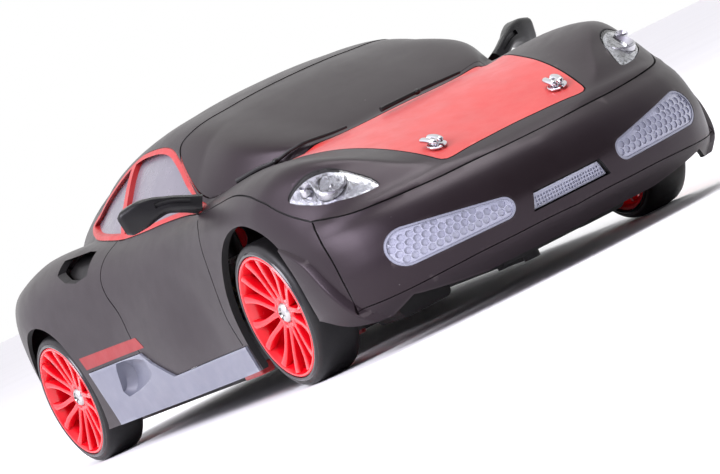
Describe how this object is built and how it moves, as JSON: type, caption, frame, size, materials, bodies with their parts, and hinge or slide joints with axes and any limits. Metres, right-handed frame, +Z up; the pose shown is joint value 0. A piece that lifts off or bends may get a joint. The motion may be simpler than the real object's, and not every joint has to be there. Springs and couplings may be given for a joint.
{
  "type": "radio-controlled drift car",
  "caption": "Small four-wheel-drive radio-controlled drift car with a hollow coupe shell, spoked wheels on slick tyres, steering linkage, geared shaft drive and fitted electronics.",
  "frame": {"origin": "ground level, below the middle of the bounding box", "axes": "+X to the nose, along the length; +Y to the car's left; +Z up"},
  "size_m": [0.1879, 0.0922, 0.0522],
  "materials": {
    "body_paint": "matt brown-black paint with a satin red bonnet panel",
    "screen_tint": "smoked satin plastic",
    "grille_plastic": "pale translucent moulding",
    "black_trim": "fine matt black",
    "lamp_clear": "clear lens",
    "side_glass": "milky clear glazing",
    "skirt_grey": "light blue-grey paint",
    "tail_red": "red lens",
    "bright_plating": "vacuum plated",
    "mirror_rubber": "semi-gloss soft black",
    "chassis_black": "fine textured moulding",
    "red_plastic": "satin red moulding",
    "rim_red": "glossy red moulding",
    "tyre_slick": "smooth hard drift tyre",
    "steel": "machined",
    "gear_nylon": "natural nylon",
    "brass": "sintered",
    "board_green": "solder mask",
    "cell_wrap": "shrink wrap",
    "arm_plastic": "moulded"
  },
  "bodies": {
    "chassis": {"body_shell": "body_paint", "windscreen": "screen_tint", "rear_window": "screen_tint", "grille_centre": "grille_plastic", "rear_grille": "black_trim", "headlight_lenses": "lamp_clear", "fog_grilles": "grille_plastic", "side_glazing": "side_glass", "side_skirts": "skirt_grey", "haunch_intakes": "black_trim", "tail_lamps": "tail_red", "headlight_reflectors": "bright_plating", "exhaust_tips": "bright_plating", "bonnet_clips": "bright_plating", "wipers": "black_trim", "mirror_left": "mirror_rubber", "mirror_right": "mirror_rubber", "front_lower_arms": "chassis_black", "front_upper_arms": "chassis_black", "steering_servo": "chassis_black", "motor": "steel", "front_gearbox": "chassis_black", "rear_gearbox": "chassis_black", "axle_bushes": "brass", "gearbox_screws": "steel", "rear_hub_carriers": "red_plastic", "chassis_tub": "chassis_black", "battery_covers": "chassis_black", "battery_cells": "cell_wrap", "circuit_board": "board_green"},
    "steer_left": {"knuckle_left": "red_plastic"},
    "steer_right": {"knuckle_right": "red_plastic"},
    "wheel_front_left": {"rim_front_left": "rim_red", "tyre_front_left": "tyre_slick", "wheel_screw_front_left": "steel", "stub_axle_left": "steel"},
    "wheel_front_right": {"rim_front_right": "rim_red", "tyre_front_right": "tyre_slick", "wheel_screw_front_right": "steel", "stub_axle_right": "steel"},
    "rear_wheels": {"rim_rear_left": "rim_red", "tyre_rear_left": "tyre_slick", "wheel_screw_rear_left": "steel", "rim_rear_right": "rim_red", "tyre_rear_right": "tyre_slick", "wheel_screw_rear_right": "steel", "rear_axle": "steel", "rear_crown_gear": "gear_nylon"},
    "front_drive": {"front_axle": "steel", "front_crown_gear": "gear_nylon", "dogbones": "steel"},
    "centre_drive": {"centre_shaft": "steel", "bevel_pinions": "gear_nylon", "spur_gear": "gear_nylon"},
    "motor_rotor": {"motor_shaft": "steel", "motor_pinion": "brass"},
    "steering_link": {"tie_rod": "arm_plastic"},
    "servo_horn": {"servo_arm": "arm_plastic"},
    "trim_lever": {"steering_trim_lever": "chassis_black"},
    "switch": {"power_switch": "chassis_black"}
  },
  "joints": [
    {"name": "rear_wheels_spin", "type": "hinge", "parent": "chassis", "child": "rear_wheels", "pos_m": [-0.0571, 0, 0.01325], "axis": [0, 1, 0], "continuous": true},
    {"name": "front_drive_spin", "type": "hinge", "parent": "chassis", "child": "front_drive", "pos_m": [0.0511, 0, 0.01325], "axis": [0, 1, 0], "continuous": true},
    {"name": "centre_drive_spin", "type": "hinge", "parent": "chassis", "child": "centre_drive", "pos_m": [0, 0, 0.01325], "axis": [1, 0, 0], "continuous": true},
    {"name": "motor_spin", "type": "hinge", "parent": "chassis", "child": "motor_rotor", "pos_m": [-0.025, -0.009, 0.01866], "axis": [1, 0, 0], "continuous": true},
    {"name": "steer_left", "type": "hinge", "parent": "chassis", "child": "steer_left", "pos_m": [0.0511, 0.027, 0.01325], "axis": [0, 0, 1], "range_deg": [-22, 22]},
    {"name": "steer_right", "type": "hinge", "parent": "chassis", "child": "steer_right", "pos_m": [0.0511, -0.027, 0.01325], "axis": [0, 0, 1], "range_deg": [-22, 22]},
    {"name": "front_left_spin", "type": "hinge", "parent": "steer_left", "child": "wheel_front_left", "pos_m": [0.0511, 0.0355, 0.01325], "axis": [0, 1, 0], "continuous": true},
    {"name": "front_right_spin", "type": "hinge", "parent": "steer_right", "child": "wheel_front_right", "pos_m": [0.0511, -0.0355, 0.01325], "axis": [0, 1, 0], "continuous": true},
    {"name": "tie_rod_slide", "type": "slide", "parent": "chassis", "child": "steering_link", "axis": [0, 1, 0], "range_m": [-0.0032, 0.0032]},
    {"name": "servo_turn", "type": "hinge", "parent": "chassis", "child": "servo_horn", "pos_m": [0.0341, 0.01, 0.021], "axis": [0, 0, 1], "range_deg": [-22, 22]},
    {"name": "trim_turn", "type": "hinge", "parent": "chassis", "child": "trim_lever", "pos_m": [0.0602, 0, 0.0038], "axis": [0, 0, 1], "range_deg": [-20, 20]},
    {"name": "switch_slide", "type": "slide", "parent": "chassis", "child": "switch", "axis": [1, 0, 0], "range_m": [-0.002, 0.002]}
  ],
  "couplings": [
    {"joint": "front_drive_spin", "follows": "rear_wheels_spin", "ratio": 1},
    {"joint": "front_left_spin", "follows": "rear_wheels_spin", "ratio": 1},
    {"joint": "front_right_spin", "follows": "rear_wheels_spin", "ratio": 1},
    {"joint": "centre_drive_spin", "follows": "rear_wheels_spin", "ratio": -2},
    {"joint": "motor_spin", "follows": "rear_wheels_spin", "ratio": 5},
    {"joint": "steer_right", "follows": "steer_left", "ratio": 1},
    {"joint": "tie_rod_slide", "follows": "steer_left", "m_per_rad": -0.0083},
    {"joint": "servo_turn", "follows": "steer_left", "ratio": -1}
  ]
}
